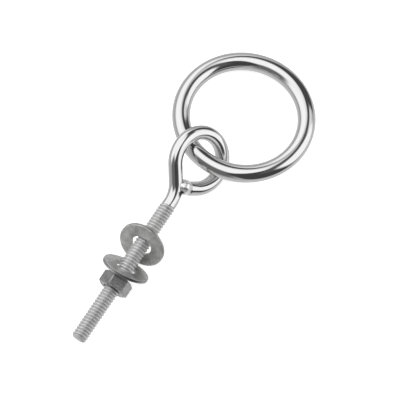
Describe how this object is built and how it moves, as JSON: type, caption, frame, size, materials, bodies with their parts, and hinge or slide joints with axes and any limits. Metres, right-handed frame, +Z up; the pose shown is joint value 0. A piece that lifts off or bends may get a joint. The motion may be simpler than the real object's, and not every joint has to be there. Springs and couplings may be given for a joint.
{
  "type": "eye bolt",
  "caption": "Threaded round bar bent into a welded eye that carries a loose round ring, with flat washers and a hex nut loose on the thread, lying as set down.",
  "frame": {"origin": "middle of the base of the bounding box, on the flat surface the part lies on", "axes": "+X along the part from the threaded tip to the ring, in plan exactly along the shank, +Z up from the surface, +Y to the left of +X"},
  "size_m": [0.138, 0.056, 0.0211],
  "materials": {
    "polished_bar": "bright steel, polished to a mirror, with a satin rolled thread",
    "weld_bead": "weld metal, lightly polished over",
    "polished_ring": "bright steel, polished to a mirror",
    "washer_steel": "dull grey plated sheet, punched",
    "nut_steel": "dull grey plated, pressed"
  },
  "bodies": {
    "bolt": {"eye_bolt": "polished_bar", "eye_weld": "weld_bead"},
    "ring": {"ring": "polished_ring"},
    "nut": {"hex_nut": "nut_steel"},
    "nut_side_washer": {"nut_side_washer": "washer_steel"},
    "eye_side_washer": {"eye_side_washer": "washer_steel"}
  },
  "joints": [
    {"name": "ring_swing", "type": "hinge", "parent": "bolt", "child": "ring", "pos_m": [0.01622, 0.00435, 0.01057], "axis": [-0.0296, -0.7071, 0.7065], "range_deg": [-120, 120]},
    {"name": "nut_travel", "type": "slide", "parent": "bolt", "child": "nut", "axis": [0.9991, 0, 0.0419], "range_m": [-0.023, 0.006]},
    {"name": "nut_side_washer_slide", "type": "slide", "parent": "nut", "child": "nut_side_washer", "axis": [0.9991, 0, 0.0419], "range_m": [0, 0.006]},
    {"name": "eye_side_washer_slide", "type": "slide", "parent": "nut_side_washer", "child": "eye_side_washer", "axis": [0.9991, 0, 0.0419], "range_m": [0, 0.007]}
  ]
}
